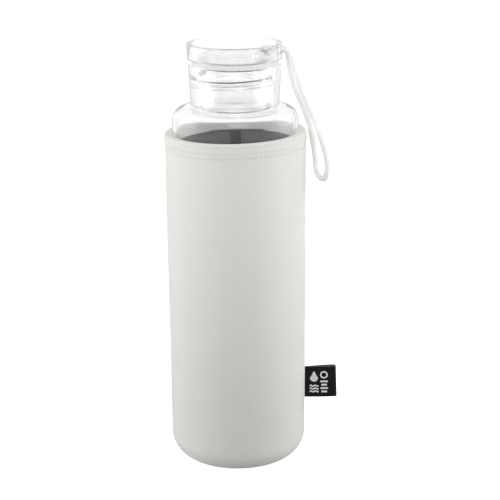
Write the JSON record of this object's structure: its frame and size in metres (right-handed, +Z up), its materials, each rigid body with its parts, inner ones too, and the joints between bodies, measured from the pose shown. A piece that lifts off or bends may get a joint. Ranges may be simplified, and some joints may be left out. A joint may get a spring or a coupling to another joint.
{
  "type": "glass water bottle",
  "caption": "Clear glass water bottle with a clear screw lid on a carry cord loop, in a soft pull-off fabric sleeve with a folded side label.",
  "frame": {"origin": "centre of the sleeve's underside, on the floor, where the bottle's axis meets it", "axes": "+Z up along the bottle's axis; +X to the side where the cord leaves the lid and the label hangs out; +Y to the upright seam at the back"},
  "size_m": [0.0893, 0.0738, 0.22],
  "materials": {
    "glass": "clear, polished",
    "clear_plastic": "clear, glossy moulded",
    "silicone": "translucent, satin",
    "cord": "round woven cord, off-white",
    "sleeve_fabric": "smooth knit face on soft foam, matt off-white, dark grey inside",
    "tape": "flat woven tape, near black",
    "thread": "sewing thread, off-white",
    "label": "black satin ribbon with a white printed pictogram"
  },
  "bodies": {
    "sleeve": {"sleeve_body": "sleeve_fabric", "sleeve_base": "sleeve_fabric", "seam_tape": "tape", "hem_thread": "thread", "seam_thread": "thread", "side_label": "label"},
    "bottle": {"glass_bottle": "glass"},
    "seal": {"lid_seal": "silicone"},
    "lid": {"lid": "clear_plastic", "cord_knot": "cord"},
    "cord": {"carry_cord": "cord"}
  },
  "joints": [
    {"name": "bottle_lift", "type": "slide", "parent": "sleeve", "child": "bottle", "axis": [0, 0, 1], "range_m": [0, 0.185]},
    {"name": "lid_lift", "type": "slide", "parent": "bottle", "child": "seal", "axis": [0, 0, 1], "range_m": [0, 0.0241]},
    {"name": "lid_turn", "type": "hinge", "parent": "seal", "child": "lid", "pos_m": [0, 0, 0.2], "axis": [0, 0, 1], "range_deg": [0, 2160]},
    {"name": "cord_swing", "type": "hinge", "parent": "lid", "child": "cord", "pos_m": [0.0261, 0, 0.2158], "axis": [0, -1, 0], "range_deg": [0, 110]}
  ],
  "couplings": [
    {"joint": "lid_lift", "follows": "lid_turn", "m_per_rad": 0.00063662}
  ]
}
